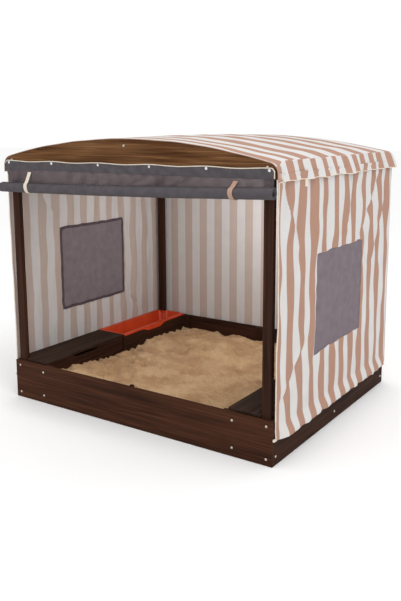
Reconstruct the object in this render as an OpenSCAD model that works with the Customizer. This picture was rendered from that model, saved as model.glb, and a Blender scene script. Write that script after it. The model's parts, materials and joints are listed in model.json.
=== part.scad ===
// Covered sandbox: a low timber box with lift-off seat lids, a storage bin, four posts, two
// arched boards, a striped cloth canopy and a mesh curtain that rolls up over the entrance.
// The origin is on the ground under the middle of the box. The entrance faces -Y.

/* [Base box] */
// Outer width of the box, left to right
base_w = 1280; // [1000:10:1700]
// Outer depth of the box, front to back
base_d = 1064; // [840:4:1400]
// Height of the boards that form the box
board_h = 167; // [150:1:220]
// Thickness of every box board, inner board, partition and arch
board_t = 14; // [10:1:22]
// Distance from the box's outer face to the middle of an inner board
inner_board_in = 166; // [140:1:210]
// Distance from the front face to the middle of the partitions
partition_in = 526; // [420:1:600]
// Width of the flat cleats on the front and back boards
cleat_w = 38; // [24:1:60]
// Thickness of the flat cleats
cleat_t = 12; // [8:1:20]
// Width of the cleat at the middle of an inner board
mid_cleat_w = 16; // [12:1:24]
// How far the cleat at the middle of an inner board stands out from it
mid_cleat_t = 8; // [6:1:12]
// Width of the cleat at the middle of the front board
front_cleat_w = 16; // [12:1:24]
// How far the middle front cleat stands above the boards
front_cleat_rise = 3; // [0:1:8]

/* [Posts and roof frame] */
// Width of a post, left to right
post_w = 38; // [28:1:60]
// Depth of a post, front to back
post_d = 19; // [15:1:38]
// Height of the arch's straight lower edge
arch_z = 1002; // [850:1:1300]
// Height of the arch's highest point
arch_top = 1130; // [1110:1:1500]
// How far the arch's top line falls from its middle to where its end face would meet it
arch_rise = 78; // [50:1:84]
// Radius of the arch's two upper corners
arch_corner = 30; // [15:1:40]
// Width of an eave rail
rail_w = 38; // [28:1:60]
// Height of an eave rail
rail_h = 19; // [12:1:25]
// Thickness of the ridge rail, which stands on edge
ridge_t = 19; // [12:1:30]
// Height of the ridge rail
ridge_h = 38; // [24:1:60]
// How far the ridge rail lies below the arch's highest point
ridge_drop = 5; // [1:1:10]

/* [Seat lids and bin] */
// Thickness of a seat lid
lid_t = 10; // [8:1:18]
// How far the lids stay in from the side boards' outer faces
lid_side_in = 7; // [3:1:9]
// How far the lids on the right pass the inner board
seat_nose = 18; // [4:1:30]
// Gap between a lid and what is next to it
lid_gap = 2; // [1:0.5:5]
// Width of the two battens under each lid
batten_w = 34; // [20:1:60]
// Thickness of the battens under each lid
batten_t = 12; // [8:1:20]
// Distance from each end of a lid to its batten
batten_in = 90; // [70:1:140]
// Bottom length of a finger notch in an inner board
notch_l = 126; // [80:1:200]
// Depth of a finger notch
notch_deep = 13; // [8:1:25]
// Length of the slope at each end of a finger notch
notch_slope = 26; // [10:1:40]
// Wall thickness of the bin
bin_wall = 2.5; // [2:0.5:4]
// Thickness of the bin's rim
bin_rim_t = 9; // [4:0.5:10]
// Height of the bin below its rim
bin_depth = 140; // [90:1:150]
// How far each bin wall slopes inwards from top to bottom
bin_taper = 14; // [4:1:25]
// Clear space between the bin and the boards around it
bin_gap = 3; // [2:0.5:6]

/* [Sand and liner] */
// Height of the sand's surface
sand_h = 102; // [60:1:140]
// Thickness of the ground liner
liner_t = 1.5; // [1:0.5:3]

/* [Canopy cloth] */
// Thickness of the canopy cloth
cloth_t = 2; // [1.5:0.5:3]
// Space between the cloth and the timber that it hangs over, which clears the screw heads
cloth_gap = 4.5; // [4:0.5:8]
// Height of the side and back walls' lower hems
hem_z = 95; // [40:1:150]
// Height of the valances' lower edges
valance_z = 993; // [930:1:1000]
// Distance from the front face to the side walls' front edges
wall_front_in = 13; // [8:1:40]
// Width of a side window, front to back
window_w = 438; // [300:2:600]
// Height of a side window
window_h = 378; // [250:2:480]
// Height of the middle of a side window
window_z = 523; // [420:1:640]
// Distance from the front face to the middle of a side window
window_in = 532; // [420:1:640]
// Thickness of the window mesh
mesh_t = 1; // [0.8:0.2:2]
// Width of a tape tab under a valance
tab_w = 20; // [12:1:30]
// Length of a tape tab under a valance
tab_l = 26; // [15:1:60]
// Distance from the front face to the middle of a tape tab
tab_in = 211; // [150:1:300]
// Height of a corner tie at the foot of a side wall
tie_h = 8; // [5:1:14]

/* [Curtain] */
// Height of the lower edge of the curtain's header band
header_z = 1003; // [1002:1:1010]
// Height of the header band
header_h = 37; // [30:1:42]
// How far the header band stays in from the box's sides
header_in = 2; // [0:1:10]
// Radius of the rolled curtain
roll_r = 19; // [14:1:30]
// Height of the middle of the rolled curtain
roll_z = 943; // [880:1:955]
// How much the roll leans up towards the right, in degrees
roll_tilt = 1.3; // [0:0.1:1.5]
// How far the roll passes the box's sides
roll_out = 8; // [0:1:20]
// Width of a tie strap
strap_w = 18; // [12:1:30]
// Thickness of a tie strap
strap_t = 1.4; // [1:0.2:2.4]
// How far the straps lap over the header's lower edge
strap_lap = 4; // [2:1:8]
// Distance from the box's left side to the left strap
strap_left_in = 146; // [60:1:240]
// Distance from the box's right side to the right strap
strap_right_in = 147; // [60:1:240]
// Number of press studs along the header
stud_count = 6; // [3:1:10]
// Distance from the box's sides to the first and last press stud
stud_in = 22; // [15:1:40]
// Distance from the header's upper edge to its press studs
stud_down = 8; // [8:1:14]

/* [Fasteners] */
// Radius of a screw's shank
screw_r = 2; // [1.5:0.1:3]
// Radius of a screw's head
head_r = 5; // [4:0.5:7]
// Height of a screw's head
head_h = 3; // [2:0.5:4]
// Length of a screw's shank
screw_l = 30; // [22:1:32]
// Distance from the box's corners to the screws that enter the posts
corner_screw_in = 26; // [18:1:40]
// Height of the lower screws in the box boards
low_screw_z = 33; // [28:1:60]
// Height of the upper screws in the box boards
high_screw_z = 137; // [100:1:142]
// How much nearer the edges the screws that enter the posts from the front and back are, which
// keeps them clear of the side boards' screws
corner_screw_shift = 9; // [6:1:12]
// Height of the arch screws that enter the posts, above the arch's lower edge
arch_screw_up = 14; // [8:1:24]
// Radius of a press stud's cap
stud_r = 6; // [4:0.5:8]
// Height of a press stud's cap
stud_h = 2.5; // [1.5:0.5:4]
// Distance from the front face to the first roof stud
roof_stud_in = 392; // [300:1:420]
// Distance between roof studs
roof_stud_pitch = 330; // [200:1:360]
// Length of a roof stud's shank, from the cloth into the eave rail
roof_stud_l = 20; // [14:1:24]

/* [Clearances] */
// Radial clearance of a screw in its hole
screw_clear = 0.3; // [0.2:0.1:0.5]
// Clear space between soft pieces and their neighbours
soft_gap = 0.5; // [0.3:0.1:0.8]
// Clear space between the lids and the posts
post_gap = 4; // [2:0.5:8]

/* [Hidden] */
$fn = 64;
eps = 0.01;

dark_wood = "#3c261d";
arch_wood = "#5f3e28";
bin_colour = "#cf4019";
sand_colour = "#b8946c";
stripe_colour = "#c9a595";
mesh_colour = "#7d737a";
roll_colour = "#4f4d50";
steel_colour = "#cfc6ba";

half_w = base_w / 2;
half_d = base_d / 2;
inside_w = half_w - board_t;
inside_d = half_d - board_t;
post_x = inside_w - post_w / 2;
post_y = inside_d - post_d / 2;

// inner boards: centre, sand-side face and outer-side face, measured from the middle of the box
inner_x = half_w - inner_board_in;
pit_half_w = inner_x - board_t / 2;
bay_x = inner_x + board_t / 2;
partition_y = partition_in - half_d;
pit_d = inside_d;

// arch: the top line is one arc through the highest point that falls by arch_rise at the ends
arc_r = (half_w * half_w + arch_rise * arch_rise) / (2 * arch_rise);
arc_z = arch_top - arc_r;
corner_z = arc_z + sqrt(pow(arc_r - arch_corner, 2) - pow(half_w - arch_corner, 2));

// rails: the eave rail's upper outer edge just clears the arch's rounded corner
eave_x = inside_w - rail_w / 2;
eave_top = corner_z + sqrt(pow(arch_corner, 2) - pow(inside_w - half_w + arch_corner, 2)) - 2;
post_top = eave_top - rail_h;
ridge_z = arch_top - ridge_drop - ridge_h / 2;

// lids: on the left the lid ends flush with the inner board, on the right it has a nose
lid_z = board_h;
lid_front = -inside_d + lid_gap;
lid_rear = inside_d - lid_gap;
lid_split = partition_y + board_t;
lid_outer = half_w - lid_side_in;
post_cut_x = inside_w - post_w - post_gap;
post_cut_y = inside_d - post_d - post_gap;

// the bin hangs by its rim in the rear left bay
bin_front = lid_split + lid_gap;
bin_rear = inside_d - lid_gap;
tub_front = bin_front;
tub_rear = inside_d - bin_gap;
tub_left = inside_w - bin_gap;
tub_right = bay_x + bin_gap;

// cloth: the walls hang outside the box and the roof lies over the arches
wall_x = half_w + cloth_gap;
wall_y = half_d + cloth_gap;
wall_front = -half_d + wall_front_in;
wall_rear = wall_y - soft_gap;
roof_in_x = wall_x + cloth_t + soft_gap;
roof_front = -half_d - 1;
roof_rear = wall_y + cloth_t + soft_gap;
roof_corner = arch_corner + roof_in_x - half_w;
wall_top = arc_z + sqrt(pow(arc_r + soft_gap - roof_corner, 2) - pow(roof_in_x - roof_corner, 2));
window_y = window_in - half_d;
tab_y = tab_in - half_d;

// curtain: the mesh hangs from the header's plane and the roll hangs in front of it
header_y = -half_d - cloth_gap - cloth_t;
header_top = header_z + header_h;
header_half_w = half_w - header_in;
roll_y = header_y - soft_gap - roll_r;
roll_half_w = half_w + roll_out;
strap_leave = 20;
strap_steps = 16;
function roll_z_at(x) = roll_z + x * tan(roll_tilt);
stud_z = header_top - stud_down;
stud_pitch = (base_w - 2 * stud_in) / (stud_count - 1);
stud_xs = [for (i = [0 : stud_count - 1]) -half_w + stud_in + i * stud_pitch];

// roof studs stand square to the arch's top line over the eave rails
roof_stud_tilt = asin(eave_x / arc_r);
roof_stud_ys = [for (i = [0, 1]) -half_d + roof_stud_in + i * roof_stud_pitch];

screw_hole_r = screw_r + screw_clear;
post_screw_x = half_w - corner_screw_in;
side_screw_y = half_d - board_t - post_d / 2;
screw_zs = [low_screw_z, high_screw_z];
corner_screw_zs = [low_screw_z - corner_screw_shift, high_screw_z + corner_screw_shift];
end_screws = concat([for (x = [-post_screw_x, post_screw_x]) for (z = corner_screw_zs) [x, z]],
    [for (x = [-inner_x, inner_x]) for (z = screw_zs) [x, z]]);
side_screws = [for (y = [-side_screw_y, partition_y, side_screw_y]) for (z = screw_zs) [y, z]];
arch_post_z = arch_z + arch_screw_up;
eave_z = eave_top - rail_h / 2;
arch_screws = [[-post_x, arch_post_z], [post_x, arch_post_z], [-eave_x, eave_z],
    [eave_x, eave_z], [0, ridge_z]];

// ---- shared shapes ----

// A box between two corners
module block(low, high) {
    translate(low)
        cube(high - low);
}

// The same shape on the left and on the right
module both_sides() {
    children();
    mirror([1, 0, 0])
        children();
}

// Arched outline in the XZ plane, grown by side at the ends and by up at the top
module arch_outline(side, up, low) {
    r = arc_r + up;
    hw = half_w + side;
    c = arch_corner + side;
    cz = arc_z + sqrt(pow(r - c, 2) - pow(hw - c, 2));
    touch_x = (hw - c) * r / (r - c);
    intersection() {
        translate([0, arc_z])
            circle(r, $fn = 256);
        translate([-touch_x, low])
            square([2 * touch_x, arc_z + r - low]);
    }
    intersection() {
        for (s = [-1, 1])
            translate([s * (hw - c), cz])
                circle(c);
        translate([-hw, low])
            square([2 * hw, cz + c - low]);
    }
    translate([-hw, low])
        square([2 * hw, cz - low]);
}

// An upright plate from an XZ outline, from one depth to another
module upright(front, rear) {
    translate([0, rear, 0])
        rotate([90, 0, 0])
            linear_extrude(rear - front)
                children();
}

// A hole or shank along Y through a front board, and its mirror for a back board
module bore_y(x, z, r, front, rear) {
    translate([x, rear, z])
        rotate([90, 0, 0])
            cylinder(h = rear - front, r = r);
}

// A hole or shank along X
module bore_x(y, z, r, left, right) {
    translate([left, y, z])
        rotate([0, 90, 0])
            cylinder(h = right - left, r = r);
}

// A domed head on the XY plane
module dome(r, h) {
    ball = (r * r + h * h) / (2 * h);
    intersection() {
        translate([0, 0, h - ball])
            sphere(ball);
        cylinder(h = h, r = r);
    }
}

// A screw along -Z with its head above the XY plane
module screw() {
    dome(head_r, head_h);
    translate([0, 0, -screw_l])
        cylinder(h = screw_l + eps, r = screw_r);
}

// Copies a screw to a front face at [x, z], pointing inwards along +Y
module on_front(x, z) {
    translate([x, -half_d, z])
        rotate([90, 0, 0])
            children();
}

// Copies a screw to the right face at [y, z], pointing inwards along -X
module on_right(y, z) {
    translate([half_w, y, z])
        rotate([0, 90, 0])
            children();
}

// The holes of the front and back boards' screws, as deep as the shanks
module end_board_holes(front_side) {
    for (p = end_screws)
        if (front_side)
            bore_y(p[0], p[1], screw_hole_r, -half_d - 1, -half_d + screw_l + 1);
        else
            bore_y(p[0], p[1], screw_hole_r, half_d - screw_l - 1, half_d + 1);
}

// The holes of the side boards' screws
module side_board_holes() {
    both_sides()
        for (p = side_screws)
            bore_x(p[0], p[1], screw_hole_r, half_w - screw_l - 1, half_w + 1);
}

// The holes of the arches' screws
module arch_holes(front_side) {
    for (p = arch_screws)
        if (front_side)
            bore_y(p[0], p[1], screw_hole_r, -half_d - 1, -half_d + screw_l + 1);
        else
            bore_y(p[0], p[1], screw_hole_r, half_d - screw_l - 1, half_d + 1);
}

// ---- box ----

module front_board() {
    color(dark_wood)
        difference() {
            block([-half_w, -half_d, 0], [half_w, -inside_d, board_h]);
            end_board_holes(true);
        }
}

module back_board() {
    color(dark_wood)
        difference() {
            block([-half_w, inside_d, 0], [half_w, half_d, board_h]);
            end_board_holes(false);
        }
}

module right_board() {
    color(dark_wood)
        difference() {
            block([inside_w, -inside_d, 0], [half_w, inside_d, board_h]);
            side_board_holes();
        }
}

module left_board() {
    mirror([1, 0, 0])
        right_board();
}

// One post at the front right corner, standing on the ground inside the boards
module front_right_post() {
    color(dark_wood)
        difference() {
            block([inside_w - post_w, -inside_d, 0], [inside_w, post_d - inside_d, post_top]);
            end_board_holes(true);
            side_board_holes();
            arch_holes(true);
        }
}

module front_left_post() {
    mirror([1, 0, 0])
        front_right_post();
}

module back_right_post() {
    mirror([0, 1, 0])
        front_right_post();
}

module back_left_post() {
    mirror([1, 0, 0])
        back_right_post();
}

// Trapezoid finger notch in the upper edge of an inner board, centred at y
module finger_notch(y) {
    bottom = notch_l / 2;
    top = bottom + notch_slope;
    translate([bay_x + 1, y, board_h])
        rotate([90, 0, -90])
            linear_extrude(board_t + 2)
                polygon([[-bottom, -notch_deep], [bottom, -notch_deep], [top, 0], [top, 1],
                    [-top, 1], [-top, 0]]);
}

// Board between the sand and a seat bay, with one finger notch for each bay
module right_inner_board() {
    front_bay_y = (-inside_d + partition_y) / 2;
    rear_bay_y = (inside_d + partition_y) / 2;
    color(dark_wood)
        difference() {
            block([pit_half_w, -pit_d, 0], [bay_x, pit_d, board_h]);
            finger_notch(front_bay_y);
            finger_notch(rear_bay_y);
            end_board_holes(true);
            end_board_holes(false);
        }
}

module left_inner_board() {
    mirror([1, 0, 0])
        right_inner_board();
}

// Board that parts the front bay from the rear bay
module right_partition() {
    color(dark_wood)
        difference() {
            block([bay_x, partition_y - board_t / 2, 0],
                [inside_w, partition_y + board_t / 2, board_h]);
            side_board_holes();
        }
}

module left_partition() {
    mirror([1, 0, 0])
        right_partition();
}

// Plans of the cleats, each grown by a gap
module front_cleat_plan(gap) {
    translate([-front_cleat_w / 2 - gap, -pit_d - gap])
        square([front_cleat_w + 2 * gap, cleat_t + 2 * gap]);
}

module back_cleat_plan(gap) {
    translate([-cleat_w / 2 - gap, pit_d - cleat_t - gap])
        square([cleat_w + 2 * gap, cleat_t + 2 * gap]);
}

module corner_cleat_plan(y, gap) {
    translate([pit_half_w - cleat_w - gap, y - gap])
        square([cleat_w + 2 * gap, cleat_t + 2 * gap]);
}

module mid_cleat_plan(gap) {
    translate([pit_half_w - mid_cleat_t - gap, partition_y - gap])
        square([mid_cleat_t + 2 * gap, mid_cleat_w + 2 * gap]);
}

module side_cleat_plans(gap) {
    corner_cleat_plan(-pit_d, gap);
    corner_cleat_plan(pit_d - cleat_t, gap);
    mid_cleat_plan(gap);
}

module front_cleat() {
    color(dark_wood)
        linear_extrude(board_h + front_cleat_rise)
            front_cleat_plan(0);
}

module back_cleat() {
    color(dark_wood)
        linear_extrude(board_h)
            back_cleat_plan(0);
}

// Upright cleats on the right: one in each corner and one on the middle of the inner board
module right_cleats() {
    color(dark_wood)
        linear_extrude(board_h)
            side_cleat_plans(0);
}

module left_cleats() {
    mirror([1, 0, 0])
        right_cleats();
}

// Plan of the sand pit with every cleat cut out of it
module pit_plan(gap) {
    difference() {
        square([2 * (pit_half_w - gap), 2 * (pit_d - gap)], center = true);
        both_sides()
            side_cleat_plans(gap);
        front_cleat_plan(gap);
        back_cleat_plan(gap);
    }
}

module ground_liner() {
    color("#2b2b2d")
        linear_extrude(liner_t)
            pit_plan(soft_gap);
}

module sand() {
    color(sand_colour)
        translate([0, 0, liner_t])
            linear_extrude(sand_h - liner_t)
                pit_plan(soft_gap);
}

// ---- seat lids and bin ----

// Room for the front and back posts of the right side, cut out of lids and the bin's rim
module post_cuts(low, high) {
    for (front = [-half_d, post_cut_y])
        block([post_cut_x, front, low], [half_w, front + half_d - post_cut_y, high]);
}

// A lift-off lid on the right side, notched round the post at its outer end
module seat_lid(inner, front, rear) {
    color(dark_wood)
        difference() {
            block([inner, front, lid_z], [lid_outer, rear, lid_z + lid_t]);
            post_cuts(lid_z - 1, lid_z + lid_t + 1);
        }
}

// Two battens under a lid, inside the bay, which keep it from sliding
module lid_battens(front, rear) {
    color(dark_wood)
        for (y = [front + batten_in, rear - batten_in - batten_w])
            block([bay_x + bin_gap, y, lid_z - batten_t],
                [inside_w - bin_gap, y + batten_w, lid_z]);
}

module left_front_lid() {
    mirror([1, 0, 0])
        seat_lid(pit_half_w, lid_front, lid_split);
}

module left_front_lid_battens() {
    mirror([1, 0, 0])
        lid_battens(lid_front, lid_split);
}

module right_front_lid() {
    seat_lid(pit_half_w - seat_nose, lid_front, lid_split);
}

module right_front_lid_battens() {
    lid_battens(lid_front, lid_split);
}

module right_rear_lid() {
    seat_lid(pit_half_w - seat_nose, lid_split + lid_gap, lid_rear);
}

module right_rear_lid_battens() {
    lid_battens(lid_split + lid_gap, lid_rear);
}

// Sloping tub, pulled in by inset, with a step in its plan that passes the back post
module tub(inset, floor_z, top_z) {
    for (step = [[tub_left, post_cut_y], [post_cut_x, tub_rear]])
        hull()
            for (level = [[floor_z, bin_taper], [top_z, 0]]) {
                pull = inset + level[1];
                translate([tub_right + pull, tub_front + pull, level[0]])
                    cube([step[0] - tub_right - 2 * pull, step[1] - tub_front - 2 * pull, eps]);
            }
}

// Open bin whose flat rim rests on the left board and the left inner board
module storage_bin() {
    rim_z = board_h;
    color(bin_colour)
        mirror([1, 0, 0])
            difference() {
                union() {
                    tub(0, rim_z - bin_depth, rim_z + eps);
                    difference() {
                        block([pit_half_w, bin_front, rim_z], [half_w, bin_rear, rim_z + bin_rim_t]);
                        post_cuts(rim_z - 1, rim_z + bin_rim_t + 1);
                    }
                }
                tub(bin_wall, rim_z - bin_depth + bin_wall, rim_z + bin_rim_t + 1);
            }
}

// ---- posts' roof frame ----

module front_arch() {
    color(arch_wood)
        difference() {
            upright(-half_d, -inside_d)
                arch_outline(0, 0, arch_z);
            arch_holes(true);
            for (x = stud_xs)
                bore_y(x, stud_z, screw_hole_r, -half_d - 1, -half_d + board_t / 2);
        }
}

module back_arch() {
    color(arch_wood)
        difference() {
            upright(inside_d, half_d)
                arch_outline(0, 0, arch_z);
            arch_holes(false);
        }
}

module right_eave_rail() {
    color(dark_wood)
        difference() {
            block([eave_x - rail_w / 2, -inside_d, post_top], [eave_x + rail_w / 2, inside_d, eave_top]);
            arch_holes(true);
            arch_holes(false);
            roof_stud_holes();
        }
}

module left_eave_rail() {
    mirror([1, 0, 0])
        right_eave_rail();
}

module ridge_rail() {
    color(dark_wood)
        difference() {
            block([-ridge_t / 2, -inside_d, ridge_z - ridge_h / 2],
                [ridge_t / 2, inside_d, ridge_z + ridge_h / 2]);
            arch_holes(true);
            arch_holes(false);
        }
}

// ---- canopy cloth ----

// Places children on the roof cloth's outer face over the right eave rail
module on_roof(y) {
    translate([0, y, arc_z])
        rotate([0, roof_stud_tilt, 0])
            translate([0, 0, arc_r + soft_gap + cloth_t])
                children();
}

module roof_stud_holes() {
    both_sides()
        for (y = roof_stud_ys)
            on_roof(y)
                translate([0, 0, -roof_stud_l - 1])
                    cylinder(h = roof_stud_l + 2, r = screw_hole_r);
}

// One cloth over both arches that falls past the eaves as two valances
module canopy_roof() {
    side = roof_in_x - half_w;
    color(stripe_colour)
        difference() {
            upright(roof_front, roof_rear)
                difference() {
                    arch_outline(side + cloth_t, soft_gap + cloth_t, valance_z);
                    arch_outline(side, soft_gap, valance_z - 1);
                }
            roof_stud_holes();
        }
}

// Side wall with a rectangular window opening
module right_wall() {
    color(stripe_colour)
        difference() {
            block([wall_x, wall_front, hem_z], [wall_x + cloth_t, wall_rear, wall_top]);
            window_block(wall_x - 1, wall_x + cloth_t + 1, 0);
        }
}

module left_wall() {
    mirror([1, 0, 0])
        right_wall();
}

module window_block(inner, outer, gap) {
    block([inner, window_y - window_w / 2 + gap, window_z - window_h / 2 + gap],
        [outer, window_y + window_w / 2 - gap, window_z + window_h / 2 - gap]);
}

module right_window() {
    middle = wall_x + cloth_t / 2;
    color(mesh_colour)
        window_block(middle - mesh_t / 2, middle + mesh_t / 2, soft_gap);
}

module left_window() {
    mirror([1, 0, 0])
        right_window();
}

// Back wall, whose arched upper edge lies just under the roof cloth
module back_wall() {
    color(stripe_colour)
        upright(wall_y, wall_y + cloth_t)
            arch_outline(cloth_gap + cloth_t, 0, hem_z);
}

// Tape tabs that hang out below the valances, one on each side
module wall_tabs() {
    color(stripe_colour)
        both_sides()
            block([roof_in_x, tab_y - tab_w / 2, valance_z - soft_gap - tab_l],
                [roof_in_x + cloth_t, tab_y + tab_w / 2, valance_z - soft_gap]);
}

// Short tapes from the walls' lower front corners to the front board's ends
module corner_ties() {
    color("#e8dfd3")
        both_sides()
            block([half_w + soft_gap, -half_d, hem_z], [wall_x + cloth_t, wall_front - soft_gap, hem_z + tie_h]);
}

// ---- curtain ----

module curtain_header() {
    color(roll_colour)
        difference() {
            block([-header_half_w, header_y, header_z], [header_half_w, header_y + cloth_t, header_top]);
            for (x = stud_xs)
                bore_y(x, stud_z, screw_hole_r, header_y - 1, header_y + cloth_t + 1);
        }
}

module curtain_mesh() {
    w = header_half_w;
    top = header_z - soft_gap;
    color(mesh_colour)
        upright(header_y, header_y + cloth_t)
            polygon([[-w, roll_z_at(-w)], [w, roll_z_at(w)], [w, top], [-w, top]]);
}

module curtain_roll() {
    color(roll_colour)
        translate([0, roll_y, roll_z])
            rotate([0, -roll_tilt, 0])
                bore_x(0, 0, roll_r, -roll_half_w, roll_half_w);
}

// Middle line of a strap in the YZ plane: from the header's face, round the roll and up behind
function strap_line(centre_z) =
    let (r = roll_r + soft_gap + strap_t / 2)
    let (start = [header_y - soft_gap - strap_t / 2, header_z + strap_lap])
    let (away = start - [roll_y, centre_z])
    let (touch = atan2(away[1], away[0]) + acos(r / norm(away)))
    let (leave = 360 - strap_leave)
    let (rear_y = header_y + cloth_t + soft_gap + strap_t / 2)
    concat([start],
        [for (i = [0 : strap_steps]) let (a = touch + (leave - touch) * i / strap_steps)
            [roll_y + r * cos(a), centre_z + r * sin(a)]],
        [[rear_y, centre_z - strap_lap], [rear_y, header_z]]);

// Unit normal of a line at point i
function line_normal(line, i) =
    let (a = line[max(i - 1, 0)])
    let (b = line[min(i + 1, len(line) - 1)])
    let (d = (b - a) / norm(b - a))
    [-d[1], d[0]];

module strap(x) {
    line = strap_line(roll_z_at(x));
    last = len(line) - 1;
    near = [for (i = [0 : last]) line[i] + line_normal(line, i) * strap_t / 2];
    far = [for (i = [last : -1 : 0]) line[i] - line_normal(line, i) * strap_t / 2];
    color(stripe_colour)
        translate([x - strap_w / 2, 0, 0])
            rotate([90, 0, 90])
                linear_extrude(strap_w)
                    polygon(concat(near, far));
}

module left_strap() {
    strap(-half_w + strap_left_in);
}

module right_strap() {
    strap(half_w - strap_right_in);
}

// ---- fasteners ----

// Press studs: a domed cap on the header and a stem that reaches into the arch
module header_studs() {
    stem = cloth_gap + cloth_t + board_t / 2 - 1;
    color(steel_colour)
        for (x = stud_xs)
            translate([x, header_y, stud_z])
                rotate([90, 0, 0]) {
                    dome(stud_r, stud_h);
                    translate([0, 0, -stem])
                        cylinder(h = stem + eps, r = screw_r);
                }
}

module roof_studs() {
    color("#2c2a2a")
        both_sides()
            for (y = roof_stud_ys)
                on_roof(y) {
                    dome(head_r, head_h);
                    translate([0, 0, -roof_stud_l])
                        cylinder(h = roof_stud_l + eps, r = screw_r);
                }
}

module front_board_screws() {
    color(steel_colour)
        for (p = end_screws)
            on_front(p[0], p[1])
                screw();
}

module back_board_screws() {
    mirror([0, 1, 0])
        front_board_screws();
}

module right_board_screws() {
    color(steel_colour)
        for (p = side_screws)
            on_right(p[0], p[1])
                screw();
}

module left_board_screws() {
    mirror([1, 0, 0])
        right_board_screws();
}

module front_arch_screws() {
    color(steel_colour)
        for (p = arch_screws)
            on_front(p[0], p[1])
                screw();
}

module back_arch_screws() {
    mirror([0, 1, 0])
        front_arch_screws();
}

front_board();
back_board();
left_board();
right_board();
front_left_post();
front_right_post();
back_left_post();
back_right_post();
front_arch();
back_arch();
left_eave_rail();
right_eave_rail();
ridge_rail();
left_inner_board();
right_inner_board();
left_partition();
right_partition();
front_cleat();
back_cleat();
left_cleats();
right_cleats();
ground_liner();
sand();
left_front_lid();
left_front_lid_battens();
right_front_lid();
right_front_lid_battens();
right_rear_lid();
right_rear_lid_battens();
storage_bin();
canopy_roof();
left_wall();
right_wall();
back_wall();
left_window();
right_window();
curtain_header();
curtain_mesh();
curtain_roll();
left_strap();
right_strap();
header_studs();
roof_studs();
wall_tabs();
corner_ties();
front_board_screws();
back_board_screws();
left_board_screws();
right_board_screws();
front_arch_screws();
back_arch_screws();
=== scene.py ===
# %% [markdown]
# # A sandbox with a cloth cover
#
# The real object is a low box of dark stained pine with side seats, sand in the middle and an orange
# bin at the back left. Four posts and two arches carry a striped cloth roof and walls, and a mesh
# curtain is rolled up over the entrance. The timber, screws and sizes come from the design, and this
# lesson adds what a drawing leaves out: softened edges, grain, weave, folds and loose sand.

# %% Load the design
import json
import math

import bmesh
import bpy
from mathutils import Matrix, Vector, noise


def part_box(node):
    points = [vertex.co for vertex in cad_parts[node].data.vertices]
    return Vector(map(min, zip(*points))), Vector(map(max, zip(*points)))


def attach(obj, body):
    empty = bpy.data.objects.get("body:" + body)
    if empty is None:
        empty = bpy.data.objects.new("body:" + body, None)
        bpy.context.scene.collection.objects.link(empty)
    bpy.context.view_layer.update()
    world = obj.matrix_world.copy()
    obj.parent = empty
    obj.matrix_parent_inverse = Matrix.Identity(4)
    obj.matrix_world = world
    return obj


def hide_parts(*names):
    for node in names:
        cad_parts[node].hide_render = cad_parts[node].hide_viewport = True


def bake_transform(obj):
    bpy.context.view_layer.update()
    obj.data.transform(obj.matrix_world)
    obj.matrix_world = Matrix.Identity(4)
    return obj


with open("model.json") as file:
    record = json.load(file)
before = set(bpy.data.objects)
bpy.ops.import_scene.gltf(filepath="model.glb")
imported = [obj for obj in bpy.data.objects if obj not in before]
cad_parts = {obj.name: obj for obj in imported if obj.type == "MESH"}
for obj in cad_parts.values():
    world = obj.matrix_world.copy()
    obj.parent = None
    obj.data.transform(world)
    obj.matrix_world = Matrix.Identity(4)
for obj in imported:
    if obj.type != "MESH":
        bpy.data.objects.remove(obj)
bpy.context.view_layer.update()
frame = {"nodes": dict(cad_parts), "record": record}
nodes = frame["nodes"]
print("pieces in the design:", len(nodes))

# %% [markdown]
# ## Camera, floor and light
#
# The object is looked at from the front right, from a little above its roof. A large soft light hangs
# above the right side, so that it grazes the walls and shows their folds. Two weak ones are inside the
# cover, because the cloth lets some daylight through, and a white sky fills the shadows, as in a studio
# with white walls. The floor is plain and pale.

# %% Camera
YAW = math.radians(34.572)
PITCH = math.radians(9.981)
ROLL = math.radians(-0.372)
camera_data = bpy.data.cameras.new("camera")
camera_data.sensor_width = 36
camera_data.lens = 44.346
camera_data.shift_x = 0.0156
camera_data.shift_y = -0.0745
camera = bpy.data.objects.new("camera", camera_data)
bpy.context.collection.objects.link(camera)
turn = Matrix.Rotation(YAW, 4, "Z") @ Matrix.Rotation(math.pi / 2 - PITCH, 4, "X")
camera.matrix_world = Matrix.Translation((1.7816, -2.6786, 1.1786)) @ turn @ Matrix.Rotation(ROLL, 4, "Z")
bpy.context.scene.camera = camera
print("camera lens:", camera_data.lens)


# %% Colours and nodes
def colour(code):
    """An sRGB hex colour as the linear colour that a shader takes."""
    parts = [int(code[i:i + 2], 16) / 255 for i in (1, 3, 5)]
    linear = [p / 12.92 if p <= 0.04045 else ((p + 0.055) / 1.055) ** 2.4 for p in parts]
    return (*linear, 1)


def add(material, kind, fields=None, values=None, links=None, stops=()):
    """Adds one node: its fields, its sockets' values, its incoming links and a ramp's stops."""
    made = material.node_tree.nodes.new(kind)
    for name, value in (fields or {}).items():
        setattr(made, name, value)
    for name, value in (values or {}).items():
        made.inputs[name].default_value = value
    for name, source in (links or {}).items():
        material.node_tree.links.new(source, made.inputs[name])
    for i, (place, code) in enumerate(stops):
        stop = made.color_ramp.elements[i] if i < 2 else made.color_ramp.elements.new(place)
        stop.position = place
        stop.color = colour(code)
    return made


def new_material(name, **values):
    """A material and its main shader, with constants set on the shader's own sockets."""
    material = bpy.data.materials.new(name)
    material.use_nodes = True
    shader = material.node_tree.nodes["Principled BSDF"]
    for socket, value in values.items():
        shader.inputs[socket.replace("_", " ")].default_value = value
    return material, shader


def plug(material, source, shader, socket):
    """Links a node's output to a socket of the main shader."""
    material.node_tree.links.new(source, shader.inputs[socket])


# %% Floor
def deselect():
    """Operators act on all that is selected, so each step starts with nothing selected."""
    for thing in bpy.context.selected_objects:
        thing.select_set(False)


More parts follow.
